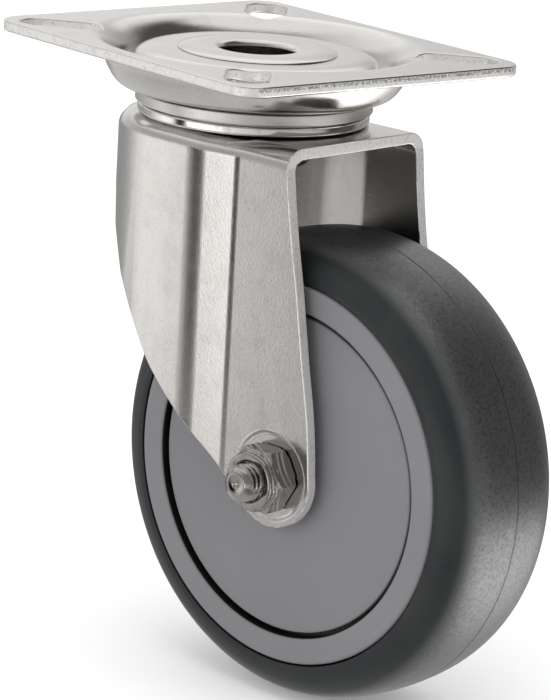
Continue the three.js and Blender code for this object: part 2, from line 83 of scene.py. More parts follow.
# %% A socket that does maths
class Wire:
    """One output socket. Sums on it add Math nodes to its tree."""

    def __init__(self, tree, socket):
        self.tree, self.socket = tree, socket

    def node(self, kind, settings=None, inputs=None, out=0):
        """Any node: its settings first, then values or wires for its sockets."""
        made = self.tree.nodes.new(kind)
        for key, value in (settings or {}).items():
            if key == "stops":
                ramp = made.color_ramp.elements
                ramp.remove(ramp[1])
                ramp[0].position, ramp[0].color = value[0]
                for place, colour in value[1:]:
                    ramp.new(place).color = colour
            else:
                setattr(made, key, value)
        for key, value in (inputs or {}).items():
            if isinstance(value, Wire):
                self.tree.links.new(value.socket, made.inputs[key])
            else:
                made.inputs[key].default_value = value
        return Wire(self.tree, made.outputs[out])

    def sum(self, operation, *values):
        return self.node("ShaderNodeMath", {"operation": operation}, dict(enumerate(values)))

    def __add__(self, other): return self.sum("ADD", self, other)
    def __radd__(self, other): return self.sum("ADD", other, self)
    def __sub__(self, other): return self.sum("SUBTRACT", self, other)
    def __rsub__(self, other): return self.sum("SUBTRACT", other, self)
    def __mul__(self, other): return self.sum("MULTIPLY", self, other)
    def __rmul__(self, other): return self.sum("MULTIPLY", other, self)
    def __truediv__(self, other): return self.sum("DIVIDE", self, other)
    def __pow__(self, other): return self.sum("POWER", self, other)
    def __abs__(self): return self.sum("ABSOLUTE", self)

    def step(self, low, high):
        """0 below low, 1 above high, smooth between."""
        return self.node("ShaderNodeMapRange", {"interpolation_type": "SMOOTHSTEP"},
                         {"Value": self, "From Min": low, "From Max": high})

    def blended(self, other, amount):
        """This number turned into another by amount."""
        return self + (other - self) * amount

    def mix(self, other, amount):
        """This colour turned into another by amount."""
        settings = {"data_type": "RGBA"}
        return self.node("ShaderNodeMix", settings, {0: amount, 6: self, 7: other}, out=2)

    def axis(self, name):
        return self.node("ShaderNodeSeparateXYZ", None, {0: self}, out="XYZ".index(name))

    def noise(self, scale, detail=2.0, rough=0.5, stretch=None):
        at = self
        if stretch:
            inputs = {"Vector": self, "Scale": stretch}
            at = self.node("ShaderNodeMapping", {"vector_type": "POINT"}, inputs)
        return self.node("ShaderNodeTexNoise", None,
                         {"Vector": at, "Scale": scale, "Detail": detail, "Roughness": rough})


print("shader sums ready")

# %% [markdown]
# A finish starts as a bare Principled shader. Constants go straight on its
# sockets; only what changes over the surface is wired.


# %% Start a finish
class Finish:
    def __init__(self, name, **constants):
        self.material = bpy.data.materials.new(name)
        self.material.use_nodes = True
        self.tree = self.material.node_tree
        self.shader = self.tree.nodes["Principled BSDF"]
        for key, value in constants.items():
            self.shader.inputs[key.replace("_", " ")].default_value = value
        coordinate = self.tree.nodes.new("ShaderNodeTexCoord")
        self.at = Wire(self.tree, coordinate.outputs["Object"])

    def centred(self, place, turn=(0, 0, 0)):
        """Coordinates about a point, turned into the piece's own directions."""
        offset = {0: self.at, 1: place}
        moved = self.at.node("ShaderNodeVectorMath", {"operation": "SUBTRACT"}, offset)
        inputs = {"Vector": moved, "Rotation": turn}
        return moved.node("ShaderNodeMapping", {"vector_type": "POINT"}, inputs)

    def colour(self, rgb):
        """A colour as a wire, for mixing patterns over it."""
        return self.at.node("ShaderNodeMix", {"data_type": "RGBA"},
                            {0: 0.0, 6: (*rgb, 1), 7: (*rgb, 1)}, out=2)

    def mark(self, name):
        """A mark painted on the piece's faces, 0 to 1."""
        return self.at.node("ShaderNodeAttribute", {"attribute_name": name}, out=2)

    def feed(self, **wires):
        for key, wire in wires.items():
            self.tree.links.new(wire.socket, self.shader.inputs[key.replace("_", " ")])
        return self

    def bump(self, height, strength, depth):
        made = self.at.node("ShaderNodeBump", None,
                            {"Strength": strength, "Distance": depth, "Height": height})
        return self.feed(Normal=made)


def scaled(tint, factors):
    """A colour with its red, green and blue each multiplied."""
    return tuple(c * factor for c, factor in zip(tint, factors)) + (1,)


print("finishes ready")

# %% [markdown]
# ## Tumbled stainless steel
# Plate and fork are pressed from sheet and then tumbled, which leaves a soft
# satin sheen. Under a lens it is a field of tiny dents, so the look comes from
# a very fine bump and a patchy roughness rather than from colour. Sheared
# edges are torn and matt; each piece marks them with an attribute called cut.
# The fork's inner side is marked too, and painted darker: on a real castor it
# is the same steel in shade.


# %% Tumbled steel
# A torn band runs round the plate's two short edges. In millimetres, where it
# starts: outward from the centre, below the top face, and above the bottom.
TORN_OUT, TORN_TOP, TORN_FOOT = (42.2, 42.6), (-0.5, -0.35), (-1.25, -1.05)


def tumbled_steel(name, rough=0.1, tint=(0.6, 0.585, 0.57)):
    made = Finish(name, Metallic=1.0)
    grain = made.at.noise(2100, 3, 0.72)
    pits = made.at.noise(3200, 2, 0.6).step(0.6, 0.68)
    patches = made.at.noise(160, 4, 0.6)
    wear = made.at.noise(520, 2, 0.5)
    scratches = made.at.noise(700, 3, 0.7, stretch=(1, 7, 3)).step(0.66, 0.75)
    cut, inner = made.mark("cut"), made.mark("inner")
    tear = made.at.noise(1700, 3, 0.75)
    x, z = abs(made.at.axis("X")) / MM, made.at.axis("Z") / MM
    torn = cut * x.step(*TORN_OUT) * (1 - z.step(*TORN_TOP)) * z.step(*TORN_FOOT)
    base = made.colour(tint).mix(scaled(tint, (0.86, 0.86, 0.85)), patches.step(0.45, 0.75) * 0.5)
    base = base.mix(scaled(tint, (0.6, 0.6, 0.6)), pits * 0.5)
    base = base.mix((0.7, 0.685, 0.67, 1), cut)
    base = base.mix((0.33, 0.32, 0.31, 1), cut * tear.step(0.54, 0.66) * 0.6)
    base = base.mix((0.09, 0.086, 0.083, 1), torn * tear.step(0.42, 0.56) * 0.7)
    base = base.mix((0.21, 0.2, 0.195, 1), inner * 0.55)
    made.feed(Base_Color=base, Metallic=1 - cut * 0.5)
    worn = rough + patches * 0.07 + wear * 0.04 + scratches * 0.04
    made.feed(Roughness=worn + cut * 0.22 + inner * 0.1)
    made.bump(grain * 1.15 + scratches * 0.12 + cut * tear * 2.0, 0.5, 0.026 * MM)
    return made.material


STEEL = tumbled_steel("tumbled_steel")
HEAD_STEEL = tumbled_steel("head_steel", rough=0.34, tint=(0.68, 0.665, 0.65))
print("tumbled steel ready")

# %% [markdown]
# ## Turned and ground steel
# The race ring, nut and bolt are machined, so they are brighter and carry
# fine rings about their own axis. Stretching a noise along that axis' radius
# gives the rings; the same finish serves the swivel and the axle.


# %% Bright steel
RINGS_PER_METRE = 3200


def turned_steel(name, place, turn, rough, tint, lines=0.35):
    made = Finish(name, Metallic=1.0)
    local = made.centred(place, turn)
    x, y, z = (local.axis(letter) for letter in "XYZ")
    radius = (x * x + z * z) ** 0.5
    section = {0: radius * RINGS_PER_METRE, 1: y * RINGS_PER_METRE, 2: 0.0}
    rings = radius.node("ShaderNodeCombineXYZ", None, section).noise(1.0, 3, 0.6)
    grain = made.at.noise(1900, 2, 0.5)
    grime = made.at.noise(420, 3, 0.6).step(0.5, 0.72)
    dark = scaled(tint, (0.62, 0.6, 0.58))
    made.feed(Base_Color=made.colour(tint).mix(dark, grime * 0.55))
    made.feed(Roughness=rough + rings * 0.08 + grime * 0.12)
    made.bump(rings * lines + grain * 0.4, 0.3, 0.01 * MM)
    return made.material


AXLE_TURN = (0, 0, -TURN)
UPRIGHT = (math.pi / 2, 0, 0)
NUT_STEEL = turned_steel("nut_steel", AXLE, AXLE_TURN, 0.04, (0.36, 0.343, 0.327), 0.15)
RING_STEEL = turned_steel("ring_steel", (0, 0, 0), UPRIGHT, 0.08, (0.74, 0.73, 0.72), 0.2)
BALL_STEEL = turned_steel("ball_steel", (0, 0, 0), UPRIGHT, 0.08, (0.64, 0.64, 0.65), 0.05)
INNER_STEEL = turned_steel("inner_steel", AXLE, AXLE_TURN, 0.24, (0.5, 0.49, 0.48))
print("turned steels ready")


# %% [markdown]
# ## Moulded plastic and rubber
# The wheel centre is a mid-grey plastic with the fine spark-eroded texture of
# its mould. The tyre is a soft anthracite rubber. Its tread has a broad grey
# sheen, which comes from a Metallic value: rubber isn't metal, but a clear coat
# would not follow the bump of its grain.


# %% Plastics and rubber
# Radii of the tread's shoulder and of its sheen, and the height of the rim's
# outer lip, each as the start and end of a fade in millimetres.
SHOULDER_FADE, SHEEN_FADE, LIP_FADE = (47.6, 49.6), (46.8, 49.5), (16.0, 16.4)


def moulded_plastic(name, tint, rough, groove=None):
    made = Finish(name, IOR=1.46)
    texture = made.at.noise(3000, 2, 0.5)
    flow = made.at.noise(28, 3, 0.5)
    specks = made.at.noise(1400, 2, 0.5).step(0.68, 0.78)
    base = made.colour(tint).mix(scaled(tint, (1.07, 1.07, 1.07)), flow.step(0.3, 0.7))
    base = base.mix(scaled(tint, (0.82, 0.82, 0.82)), specks * 0.5)
    if groove:
        local = made.centred(AXLE, AXLE_TURN)
        x, y, z = (local.axis(letter) / MM for letter in "XYZ")
        radius = (x * x + z * z) ** 0.5
        # Painted shade: the groove between the cover disc and the rim is coloured near black, where
        # shade falls in it.
        groove_shade = (1 - abs(radius - groove).step(0.5, 0.8)) * (1 - abs(y).step(*LIP_FADE))
        base = base.mix((0.004, 0.004, 0.004, 1), groove_shade)
    made.feed(Base_Color=base)
    made.feed(Roughness=rough + flow * 0.08 + texture * 0.06)
    made.bump(texture, 0.25, 0.02 * MM)
    return made.material


def tyre_rubber(name):
    made = Finish(name, IOR=1.5, Specular_IOR_Level=0.35)
    local = made.centred(AXLE, AXLE_TURN)
    x, y, z = (local.axis(letter) for letter in "XYZ")
    radius = (x * x + z * z) ** 0.5 / MM
    grain = made.at.noise(2300, 3, 0.6)
    cloud = made.at.noise(60, 4, 0.6)
    scuff = made.at.noise(260, 4, 0.7).step(0.55, 0.75)
    tread = radius.step(*SHOULDER_FADE)
    parting = 1 - abs(y / MM).step(0.05, 0.22)
    base = made.colour((0.012, 0.0145, 0.016))
    base = base.mix((0.02, 0.022, 0.023, 1), cloud.step(0.35, 0.7))
    shine = radius.step(*SHEEN_FADE)
    base = base.mix((0.17, 0.172, 0.175, 1), shine * (0.8 + scuff * 0.2))
    speckle = made.at.noise(1500, 3, 0.7)
    base = base.mix((0.05, 0.051, 0.052, 1), shine * speckle.step(0.46, 0.62) * 0.5)
    base = base.mix((0.02, 0.02, 0.02, 1), parting * tread * 0.7)
    made.feed(Base_Color=base)
    made.feed(Roughness=0.34 + cloud * 0.1 - shine * 0.06 + grain * 0.04)
    made.feed(Metallic=shine * 0.85)
    made.bump(grain * 0.4 + speckle * tread * 1.2 - parting * tread * 1.2, 0.6, 0.04 * MM)
    return made.material


RIM_PLASTIC = moulded_plastic("rim_plastic", (0.172, 0.172, 0.18), 0.42, groove=34.6)
COVER_PLASTIC = moulded_plastic("cover_plastic", (0.172, 0.17, 0.181), 0.5)
NYLON = moulded_plastic("nylon", (0.72, 0.72, 0.68), 0.45)
TYRE_RUBBER = tyre_rubber("tyre_rubber")
print("plastics and rubber ready")


# %% [markdown]
# ## Shaping helpers
# Most of the castor is turned: an outline of radius and height is spun round.
# Each corner of an outline says how far it is eased, and a vertex bevel rounds
# it before the spin, so every edge catches the light as a real one does.


# %% Outline to turned solid
# Points nearer than this are one point, and two heights this near are level.
WELD = 0.001 * MM
LEVEL = 1e-6
# How many facets a turned piece has, and a round tool that cuts one.
PIECE_STEPS, TOOL_STEPS = 160, 96


def outline_face(bm, points):
    """A face in the XZ plane from (x, z, ease) corners in millimetres."""
    made = [bm.verts.new((x * MM, 0, z * MM)) for x, z, _ in points]
    face = bm.faces.new(made)
    eases = {}
    for vertex, (_, _, ease) in zip(made, points):
        eases.setdefault(ease, []).append(vertex)
    for ease, corners in eases.items():
        if ease > 0:
            steps = 6 if ease >= 0.4 else 3
            bmesh.ops.bevel(bm, geom=corners, offset=ease * MM, offset_type="OFFSET", affect="VERTICES",
                            segments=steps, profile=0.5, material=-1, clamp_overlap=False)
    return bm.faces[:]


def turned(points, steps=PIECE_STEPS, place=Matrix.Identity(4)):
    """A solid of revolution about Z from an outline of (radius, height, ease)."""
    bm = bmesh.new()
    outline_face(bm, points)
    bmesh.ops.delete(bm, geom=bm.faces[:], context="FACES_ONLY")
    bmesh.ops.spin(bm, geom=bm.verts[:] + bm.edges[:], cent=(0, 0, 0), axis=(0, 0, 1),
                   angle=2 * math.pi, steps=steps, use_merge=True, use_duplicate=False)
    bmesh.ops.remove_doubles(bm, verts=bm.verts[:], dist=WELD)
    bmesh.ops.transform(bm, matrix=place, verts=bm.verts[:])
    bmesh.ops.recalc_face_normals(bm, faces=bm.faces[:])
    return bm


def ring(inner, outer, low, high):
    """The outline of a plain ring, or of a plug where inner is 0."""
    return [(inner, low, 0), (outer, low, 0), (outer, high, 0), (inner, high, 0)]


def as_object(name, bm, slots=0):
    """An object from a bmesh. Slots let a Boolean keep its tools' faces apart."""
    mesh = bpy.data.meshes.new(name)
    for _ in range(slots):
        mesh.materials.append(STEEL)
    bm.to_mesh(mesh)
    bm.free()
    piece = bpy.data.objects.new(name, mesh)
    bpy.context.scene.collection.objects.link(piece)
    return piece


print("turning ready")


# %% [markdown]
# Sheet-metal pieces are cut from one another with the exact Boolean, and the
# result is baked to a plain mesh so that its edges can be eased afterwards.


# %% Cutting and finishing
def combined(base, tools):
    """base after each (operation, tool), as one new mesh."""
    for operation, tool in tools:
        modifier = base.modifiers.new("cut", "BOOLEAN")
        modifier.operation, modifier.solver, modifier.object = operation, "EXACT", tool
        tool.hide_render = True
    graph = bpy.context.evaluated_depsgraph_get()
    mesh = bpy.data.meshes.new_from_object(base.evaluated_get(graph))
    base.modifiers.clear()
    base.data = mesh
    for _, tool in tools:
        bpy.data.objects.remove(tool)
    return base


# Slivers that a Boolean leaves are merged up to this length.
SLIVER = 0.12 * MM


def sharp_edges(bm, degrees):
    limit = math.radians(degrees)
    return [e for e in bm.edges if len(e.link_faces) == 2 and e.calc_face_angle() > limit]


def eased(piece, width, degrees=50, segments=3):
    """Round every sharp edge of a cut piece."""
    bm = bmesh.new()
    bm.from_mesh(piece.data)
    bmesh.ops.remove_doubles(bm, verts=bm.verts[:], dist=SLIVER)
    bmesh.ops.dissolve_limit(bm, angle_limit=math.radians(0.4), verts=bm.verts[:],
                             edges=bm.edges[:])
    bmesh.ops.bevel(bm, geom=sharp_edges(bm, degrees), offset=width * MM, offset_type="OFFSET",
                    affect="EDGES", segments=segments, profile=0.5, material=-1,
                    clamp_overlap=False, loop_slide=True)
    bm.to_mesh(piece.data)
    bm.free()


def finished(piece, material, body, slot, *nodes):
    """Shade, paint and mount a piece in place of its CAD nodes."""
    piece.data.shade_smooth()
    piece.data.set_sharp_from_angle(angle=math.radians(38))
    weighted = piece.modifiers.new("even_shading", "WEIGHTED_NORMAL")
    weighted.keep_sharp = True
    piece.data.materials.clear()
    piece.data.materials.append(material)
    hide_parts(*nodes)
    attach(piece, body)
    print(f"{piece.name}: {len(piece.data.polygons)} faces")
    return piece


print("cutting ready")


# %% [markdown]
# ## Top plate
# The plate is 2.4 mm sheet with a deep ring pressed into it, which holds the
# upper ball race, and a flat raised centre. Its section is spun, joined to a
# rounded rectangle by bridging, and the four slots are cut with flared tools
# that leave their rims softly rounded.


# %% Plate constants
SHEET = 2.4
PLATE_X, PLATE_Y = (hi - lo for lo, hi in zip(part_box("top_plate")[0].xy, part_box("top_plate")[1].xy))
SLOT_X, SLOT_Y, SLOT_REACH, SLOT_RADIUS = 31.4, 28.4, 4.3, 4.5
PLATE_CORNER, RIM_EASE = 6, 0.55
# Radius and height along the dish's upper face, from the flat rim inwards.
DISH_RIM, PLATEAU, CENTRE_HOLE, UNDER_PLATEAU = 37.6, -2, 10.5, -4.4
DISH_TOP = [(DISH_RIM, 0), (36.4, 0), (35, -0.1), (33.4, -0.6), (31.7, -1.8), (30.3, -3.6),
            (29.5, -5.4), (28.6, -6.9), (27.8, -7.75), (27.1, -7.9), (26.6, -7.3),
            (26.4, -6.2), (26.3, -4.8), (25.9, -3.7), (25.0, -2.8), (23.6, -2.25),
            (21.8, -2.02), (20, PLATEAU)]
# Inside this radius the under side follows its own, rounder line.
UNDER_FROM = 27.2
UNDER_END = [(25.9, -10.3), (24.9, -10), (24.2, -9.2), (24, -8), (23.9, -5.6), (23.2, -4.6),
             (22.4, UNDER_PLATEAU), (CENTRE_HOLE, UNDER_PLATEAU)]
print(f"plate {PLATE_X / MM:.1f} x {PLATE_Y / MM:.1f} mm")


# %% Section of the dish
def flowing(points, per_span=5):
    """A smooth line through points (Catmull-Rom)."""
    line = []
    ends = [points[0], *points, points[-1]]
    for a, b, c, d in zip(ends, ends[1:], ends[2:], ends[3:]):
        for k in range(per_span):
            t = k / per_span
            line.append(tuple(
                0.5 * (2 * q + (r - p) * t + (2 * p - 5 * q + 4 * r - s) * t * t
                       + (3 * q - p - 3 * r + s) * t ** 3)
                for p, q, r, s in zip(a, b, c, d)))
    return [*line, points[-1]]


def wire_of(bm, points):
    """A chain of edges in the XZ plane."""
    made = [bm.verts.new((r * MM, 0, z * MM)) for r, z in points]
    for a, b in zip(made, made[1:]):
        bm.edges.new((a, b))
    return made


TOP_LINE = flowing(DISH_TOP)
UNDER_LINE = []
for (r0, z0), (r1, z1), (r2, z2) in zip(TOP_LINE, TOP_LINE[1:], TOP_LINE[2:]):
    along = Vector((r2 - r0, z2 - z0)).normalized()
    if r1 > UNDER_FROM:
        UNDER_LINE.append((r1 - along.y * SHEET, z1 + along.x * SHEET))
UNDER_LINE += UNDER_END
print("dish section:", len(TOP_LINE), "points above,", len(UNDER_LINE), "below")


# %% Press, bridge and cut the plate
ROUND_STEPS = 192


def plate_corner(angle):
    """Where a ray from the centre meets the plate's rounded outline."""
    x, y, corner = PLATE_X / 2, PLATE_Y / 2, PLATE_CORNER * MM
    c, s = abs(math.cos(angle)), abs(math.sin(angle))
    reach = min(x / max(c, 1e-9), y / max(s, 1e-9))
    px, py = reach * c, reach * s
    if px > x - corner and py > y - corner:
        b = (x - corner) * c + (y - corner) * s
        q = (x - corner) ** 2 + (y - corner) ** 2 - corner ** 2
        reach = b + math.sqrt(b * b - q)
    return reach * math.cos(angle), reach * math.sin(angle)


def drawn_out(bm, edges, move):
    """Extrude a loop of edges and move each new corner."""
    made = bmesh.ops.extrude_edge_only(bm, edges=edges)["geom"]
    for vertex in made:
        if isinstance(vertex, bmesh.types.BMVert):
            vertex.co = move(vertex.co)
    return [g for g in made if isinstance(g, bmesh.types.BMEdge)]


def to_outline(co):
    """The point of the plate's outline that lies straight out from this one."""
    return Vector((*plate_corner(math.atan2(co.y, co.x)), co.z))


def outer_edges(bm):
    """The level, sharp edges of the plate's rim, above and below."""
    beyond = (DISH_RIM + 0.1) * MM
    return [e for e in bm.edges if min(v.co.xy.length for v in e.verts) > beyond
            and abs(e.verts[0].co.z - e.verts[1].co.z) < LEVEL / 10 and len(e.link_faces) == 2
            and e.calc_face_angle() > 1.2]


def pressed_plate():
    bm = bmesh.new()
    top = wire_of(bm, [*TOP_LINE, (CENTRE_HOLE, PLATEAU)])
    under = wire_of(bm, [(DISH_RIM, -SHEET), *UNDER_LINE])
    bm.edges.new((top[-1], under[-1]))
    bmesh.ops.spin(bm, geom=bm.verts[:] + bm.edges[:], cent=(0, 0, 0), axis=(0, 0, 1),
                   angle=2 * math.pi, steps=ROUND_STEPS, use_merge=True, use_duplicate=False)
    bmesh.ops.remove_doubles(bm, verts=bm.verts[:], dist=WELD)
    rims = {level: [e for e in bm.edges if e.is_boundary and abs(e.verts[0].co.z - level) < LEVEL]
            for level in (0, -SHEET * MM)}
    outer = {level: drawn_out(bm, rim, to_outline) for level, rim in rims.items()}
    drawn_out(bm, outer[0], lambda co: co - Vector((0, 0, SHEET * MM)))
    bmesh.ops.remove_doubles(bm, verts=bm.verts[:], dist=WELD)
    bmesh.ops.recalc_face_normals(bm, faces=bm.faces[:])
    bmesh.ops.bevel(bm, geom=outer_edges(bm), offset=RIM_EASE * MM, offset_type="OFFSET",
                    affect="EDGES", segments=4, profile=0.5, material=-1, clamp_overlap=False)
    return as_object("pressed_plate", bm)


def dish_height(radius):
    """Height of the plate's upper face at a radius, in metres."""
    for (r0, z0), (r1, z1) in zip(TOP_LINE, TOP_LINE[1:]):
        if r1 <= radius / MM <= r0:
            return (z0 + (z1 - z0) * (r0 - radius / MM) / (r0 - r1)) * MM
    return 0.0


SLOT_FLARE, SLOT_STEPS = 0.45, 40


def slot_levels():
    """(height, extra width) of the tool: a quarter round at each face of the sheet."""
    levels = [(0.6, SLOT_FLARE + 0.3)]
    for angle in (math.radians(degrees) for degrees in (90, 65, 42, 21, 0)):
        levels.append((-SLOT_FLARE + SLOT_FLARE * math.sin(angle),
                       SLOT_FLARE - SLOT_FLARE * math.cos(angle)))
    return levels + [(-SHEET - z, wider) for z, wider in reversed(levels)]


def slot_tool(sx, sy):
    """A stadium prism whose ends flare out, so that it rounds the rim it cuts."""
    bm = bmesh.new()
    loops = []
    for z, wider in slot_levels():
        loop = []
        for k in range(SLOT_STEPS):
            angle = 2 * math.pi * (k + 0.5) / SLOT_STEPS
            side = SLOT_REACH if math.cos(angle) > 0 else -SLOT_REACH
            radius = SLOT_RADIUS + wider
            x, y = side + radius * math.cos(angle), radius * math.sin(angle)
            loop.append(bm.verts.new((x * MM, y * MM, z * MM)))
        loops.append([bm.edges.new((a, b)) for a, b in zip(loop, [*loop[1:], loop[0]])])
    for lower_loop, upper_loop in zip(loops, loops[1:]):
        bmesh.ops.bridge_loops(bm, edges=lower_loop + upper_loop)
    bmesh.ops.holes_fill(bm, edges=loops[0] + loops[-1], sides=0)
    outward = Matrix.Rotation(math.atan2(sy * SLOT_Y, sx * SLOT_X), 4, "Z")
    place = Matrix.Translation((sx * SLOT_X * MM, sy * SLOT_Y * MM, 0)) @ outward
    bmesh.ops.transform(bm, matrix=place, verts=bm.verts[:])
    for vertex in bm.verts:
        vertex.co.z += dish_height(vertex.co.xy.length)
    bmesh.ops.recalc_face_normals(bm, faces=bm.faces[:])
    return as_object("slot_tool", bm)


def painted(piece, name, test):
    """Paint a mark on the faces where test says so."""
    mark = piece.data.attributes.new(name, "FLOAT", "FACE")
    mark.data.foreach_set("value", [1.0 if test(face) else 0.0 for face in piece.data.polygons])


def on_sheared_edge(face):
    """Steep faces outside the dish: the plate's outer edge and its slots' walls."""
    out, down = face.center.xy.length / MM, -face.center.z / MM
    return abs(face.normal.z) < 0.5 and out > 33 and down < 3


plate = combined(pressed_plate(), [
    ("DIFFERENCE", slot_tool(sx, sy)) for sx in (1, -1) for sy in (1, -1)])
painted(plate, "cut", on_sheared_edge)
finished(plate, STEEL, "plate", "pressed_steel", "top_plate")

# %% [markdown]
# ## Swivel head
# A hollow rivet, the kingpin, clamps plate and fork through their ball races.
# Between plate and fork show a matt closing band and the polished edge of the
# fork's race. All of them are turned outlines.

# %% Turn the head's rings
KINGPIN = [(8.2, -25.3, 0.3), (8.0, -1.4, 1.2), (14.3, -1.2, 1.8), (16.9, -1.7, 0.25),
           (17.0, -1.95, 0), (10.2, -1.95, 0), (10.2, -23.7, 0.3), (12.4, -23.7, 0.5),
           (12.4, -25.3, 0.7)]
SEAL = [(23.9, -13.5, 0), (23.9, -11.1, 0.15), (25.3, -11.1, 0.35), (25.3, -13.5, 0.3)]
RACE = [(15.4, -15.9, 0), (15.4, -10.7, 0.2), (23.5, -10.7, 0.2), (23.5, -13.85, 0),
        (24.7, -13.85, 0.5), (24.7, -15.9, 0.55)]
CUP = [(10.5, -23.2, 0), (10.5, -19.2, 0.3), (12.2, -19.2, 0.3), (12.2, -21.4, 0),
       (15.6, -21.2, 0.4), (15.6, -23.2, 0.6)]
for name, outline, material, body, slot, node in (
        ("hollow_kingpin", KINGPIN, STEEL, "plate", "pressed_steel", "kingpin"),
        ("closing_band", SEAL, HEAD_STEEL, "swivel_fork", "pressed_steel", "head_seal"),
        ("race_ring", RACE, RING_STEEL, "swivel_fork", "bright_steel", "fork_race"),
        ("clamp_cup", CUP, HEAD_STEEL, "plate", "pressed_steel", "lower_cup")):
    finished(as_object(name, turned(outline)), material, body, slot, node)

# %% [markdown]
# ## Fork
# The fork is one sheet: a crown with a round nose, two facets where the wide
# nose narrows, and two legs. A rounded block less a smaller one gives the
# sheet, and a prism of the side view cuts its swept front and its legs. The
# side's bends are rounded in plan before the block is raised.

# %% Fork plan
CROWN_TOP, SHOULDER, SPLAY, LEG_HALF = -16.2, 4.2, 0.06, 20.3
# The block runs past the wheel and the legs; the side prism cuts off what is over.
BLOCK_END, BLOCK_HEIGHT, NOSE_FROM = 70, 0.12, -20
PLAN = [(BLOCK_END, LEG_HALF, 0), (16, LEG_HALF, 0.9), (5.6, 22.0, 2.9), (-5, 21.75, 5),
        (-29.5, 19.9, 18.0)]


def fork_block(name, inset, top, shoulder):
    """The fork's outer shape, or with an inset the hollow inside it."""
    bm = bmesh.new()
    half = []
    for x, y, ease in PLAN:
        nose_inset = inset if x < NOSE_FROM else 0
        half.append((x + nose_inset, y - inset, max(ease - nose_inset, 0)))
    corners = half + [(x, -y, ease) for x, y, ease in reversed(half)]
    outline_face(bm, corners)
    # The outline was drawn upright; lay it down and raise it to the crown.
    bmesh.ops.rotate(bm, verts=bm.verts[:], matrix=Matrix.Rotation(-math.pi / 2, 3, "X"))
    raised = bmesh.ops.extrude_face_region(bm, geom=bm.faces[:])["geom"]
    lifted = [g for g in raised if isinstance(g, bmesh.types.BMVert)]
    bmesh.ops.translate(bm, verts=lifted, vec=(0, 0, BLOCK_HEIGHT))
    bmesh.ops.translate(bm, verts=bm.verts[:], vec=(0, 0, top * MM - BLOCK_HEIGHT))
    bmesh.ops.recalc_face_normals(bm, faces=bm.faces[:])
    # Every edge of the top is rounded but the one across the open rear end.
    upper = [e for e in bm.edges if all(abs(v.co.z - top * MM) < LEVEL for v in e.verts)]
    rim = [e for e in upper if all(v.co.x < (BLOCK_END - 1) * MM for v in e.verts)
           or abs(e.verts[0].co.y - e.verts[1].co.y) < LEVEL]
    bmesh.ops.bevel(bm, geom=rim, offset=shoulder * MM, offset_type="OFFSET", affect="EDGES",
                    segments=8, profile=0.5, material=-1, clamp_overlap=False, loop_slide=True)
    for vertex in bm.verts:
        vertex.co.y *= 1 + SPLAY * (vertex.co.z / MM - AXLE_Z) / (CROWN_TOP - AXLE_Z)
    return as_object(name, bm, 2)


print("fork plan:", len(PLAN), "corners a side")

# %% Fork side view and holes
REAR = [(29.8, 0), (29.8, -19.5), (31.2, -29.3), (32.6, -37), (34.2, -44.6), (36.7, -58.9),
        (39.2, -72)]
FRONT_X = -34
FRONT = [(14.9, -86.4), (7, -80), (1.6, -75.6), (-3, -71.4), (-6.9, -67), (-12, -58.8),
         (-16.1, -51.8), (-21, -41.5), (-25, -32), (-28.6, -24.6), (-31.2, -21.5),
         (FRONT_X, -20.5)]
BOSS, BOSS_DEPTH, BOLT_HOLE, CROWN_HOLE = 9.5, 0.7, 4.25, 11.6
# The round end of a leg: its radius, and its directions from the axle in degrees.
LEG_END, LEG_END_ARC = 10.9, range(12, -129, -7)
PRISM_HALF = 0.04


def side_prism():
    """The fork seen from the side, as wide as any of it."""
    angles = [math.radians(degrees) for degrees in LEG_END_ARC]
    end = [(TRAIL + LEG_END * math.cos(a), AXLE_Z + LEG_END * math.sin(a)) for a in angles]
    rear = flowing(REAR[1:] + end[:1], 4)[:-1]
    front = flowing([end[-1]] + FRONT, 4)[1:]
    line = rear + end + front + [(FRONT_X, 0), REAR[0]]
    bm = bmesh.new()
    face = bm.faces.new([bm.verts.new((x * MM, -PRISM_HALF, z * MM)) for x, z in line])
    raised = bmesh.ops.extrude_face_region(bm, geom=[face])["geom"]
    lifted = [g for g in raised if isinstance(g, bmesh.types.BMVert)]
    bmesh.ops.translate(bm, verts=lifted, vec=(0, 2 * PRISM_HALF, 0))
    bmesh.ops.recalc_face_normals(bm, faces=bm.faces[:])
    # The second slot tells the sheared faces this prism leaves from the rest.
    for face in bm.faces:
        face.material_index = 1
    return as_object("side_prism", bm, 2)


def on_axle_tool(name, outline, flip=False):
    """A turned tool on the axle of the fork before the fork is turned."""
    turn = Matrix.Rotation(math.pi, 4, "X") if flip else Matrix.Identity(4)
    bm = turned(outline, TOOL_STEPS, turn)
    bmesh.ops.transform(bm, matrix=FORK_TURN.inverted() @ ON_AXLE, verts=bm.verts[:])
    bmesh.ops.recalc_face_normals(bm, faces=bm.faces[:])
    return as_object(name, bm)


def rim_of_boss(face):
    """Faces on the wall and rim of the pressed boss round the bolt."""
    out = math.hypot(face.center.x / MM - TRAIL, face.center.z / MM - AXLE_Z)
    return BOSS - 0.6 < out < BOSS + 0.9 and abs(face.normal.y) < 0.985


def on_inside(face):
    """Faces of the sheet's inner side: they look back at the swivel axis or down."""
    inward = face.normal.xy.dot(face.center.xy) < -1e-4
    return face.material_index == 0 and (inward or face.normal.z < -0.5)


print("legs end", LEG_END, "mm round the axle")

# %% Press the fork
BOSS_FLOOR = LEG_HALF - BOSS_DEPTH
